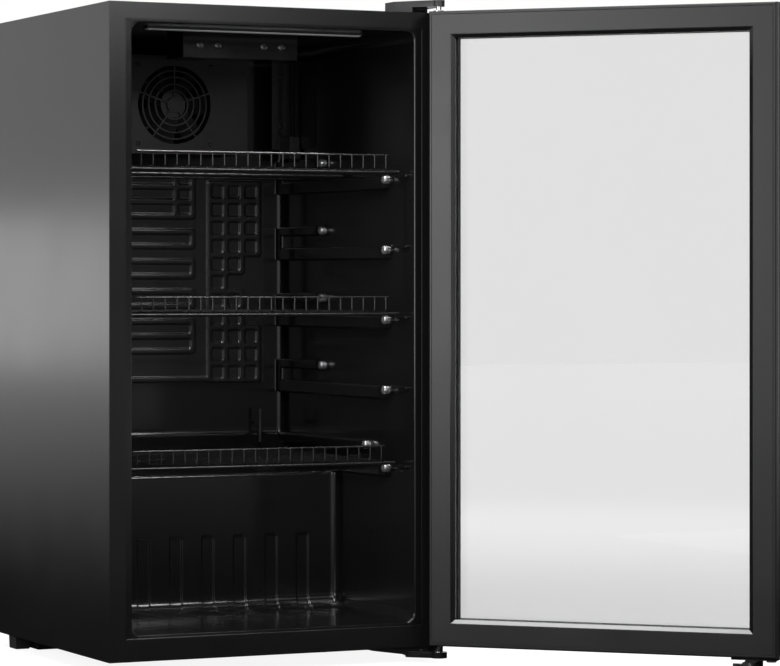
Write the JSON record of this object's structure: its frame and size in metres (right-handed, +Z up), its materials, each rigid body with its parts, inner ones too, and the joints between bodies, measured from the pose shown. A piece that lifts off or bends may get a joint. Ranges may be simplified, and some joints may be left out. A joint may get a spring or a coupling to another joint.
{
  "type": "glass door merchandiser",
  "caption": "Upright black beverage cooler with a swinging double-glazed door, sliding wire shelves, a moulded liner with a compressor step, and a rear condenser.",
  "frame": {"origin": "on the floor plane, under the middle of the cabinet's footprint without its door and condenser", "axes": "+Z up, -Y towards the customer at the cabinet's front, +X towards the hinge side"},
  "size_m": [0.8015, 0.8597, 0.8855],
  "materials": {
    "cabinet_black": "satin powder coat",
    "galvanised": "matte",
    "foam": "matte",
    "liner_black": "satin moulded",
    "peg_metal": "polished",
    "plate_black": "satin",
    "plastic_black": "matte",
    "zinc": "satin",
    "light_lens": "frosted",
    "wire_black": "gloss coat",
    "compressor_black": "gloss",
    "rubber_black": "matte",
    "copper": "satin copper",
    "door_black": "satin",
    "bead_grey": "satin",
    "gasket_grey": "satin",
    "pane_glass": "clear",
    "spacer_black": "matte",
    "bush_steel": "polished",
    "lock_chrome": "polished"
  },
  "bodies": {
    "cabinet": {"outer_shell": "cabinet_black", "base_frame": "cabinet_black", "back_panel": "galvanised", "insulation": "foam", "inner_liner": "liner_black", "shelf_pegs": "peg_metal", "cooling_plate": "plate_black", "fan_panel": "plastic_black", "fan_frame": "plastic_black", "control_box": "plastic_black", "thermostat": "plastic_black", "interior_screws": "zinc", "light_housing": "plastic_black", "light_lens": "light_lens", "temperature_probe": "plastic_black", "drain_cup": "plastic_black", "corner_cover": "plastic_black", "riser_tube": "rubber_black", "tube_clip": "plastic_black", "compressor_tray": "cabinet_black", "compressor": "compressor_black", "grommets": "rubber_black", "compressor_bolts": "zinc", "start_relay": "plastic_black", "condenser": "wire_black", "filter_drier": "copper", "discharge_pipe": "copper", "suction_pipe": "copper", "drip_tray": "plastic_black", "rear_grille": "cabinet_black", "cord_gland": "rubber_black", "top_hinge_bracket": "cabinet_black", "top_hinge_cover": "plastic_black", "top_hinge_pin": "bush_steel", "bottom_hinge_bracket": "cabinet_black", "bottom_hinge_pin": "bush_steel", "hinge_screws": "zinc", "foot_rear_left": "plastic_black", "foot_rear_right": "plastic_black"},
    "door": {"door_top_rail": "door_black", "door_bottom_rail": "door_black", "door_hinge_stile": "door_black", "door_free_stile": "door_black", "corner_keys": "plastic_black", "glazing_bead": "bead_grey", "door_gasket": "gasket_grey", "inner_pane": "pane_glass", "outer_pane": "pane_glass", "pane_spacer": "spacer_black", "door_bushes": "bush_steel", "lock_bracket": "cabinet_black", "lock_screws": "zinc"},
    "lock_cylinder": {"lock_plug": "lock_chrome"},
    "fan": {"fan_rotor": "plastic_black"},
    "upper_shelf": {"shelf_top": "wire_black"},
    "middle_shelf": {"shelf_middle": "wire_black"},
    "lower_shelf": {"shelf_bottom": "wire_black"},
    "foot_fl": {"foot_front_left": "plastic_black"},
    "foot_fr": {"foot_front_right": "plastic_black"}
  },
  "joints": [
    {"name": "door_hinge", "type": "hinge", "parent": "cabinet", "child": "door", "pos_m": [0.227, -0.2585, 0.45], "axis": [0, 0, 1], "range_deg": [-134.7, 0]},
    {"name": "lock_turn", "type": "hinge", "parent": "door", "child": "lock_cylinder", "pos_m": [0.51453, -0.57891, 0.0135], "axis": [0.7108, 0.7034, 0], "range_deg": [0, 90]},
    {"name": "fan_spin", "type": "hinge", "parent": "cabinet", "child": "fan", "pos_m": [-0.0025, 0.1245, 0.758], "axis": [0, -1, 0], "continuous": true},
    {"name": "upper_shelf_slide", "type": "slide", "parent": "cabinet", "child": "upper_shelf", "axis": [0, -1, 0], "range_m": [0, 0.2]},
    {"name": "middle_shelf_slide", "type": "slide", "parent": "cabinet", "child": "middle_shelf", "axis": [0, -1, 0], "range_m": [0, 0.2]},
    {"name": "lower_shelf_slide", "type": "slide", "parent": "cabinet", "child": "lower_shelf", "axis": [0, -1, 0], "range_m": [0, 0.2]},
    {"name": "foot_fl_turn", "type": "hinge", "parent": "cabinet", "child": "foot_fl", "pos_m": [-0.145, -0.0625, 0.01], "axis": [0, 0, 1], "continuous": true},
    {"name": "foot_fr_turn", "type": "hinge", "parent": "cabinet", "child": "foot_fr", "pos_m": [0.145, -0.0625, 0.01], "axis": [0, 0, 1], "continuous": true}
  ]
}
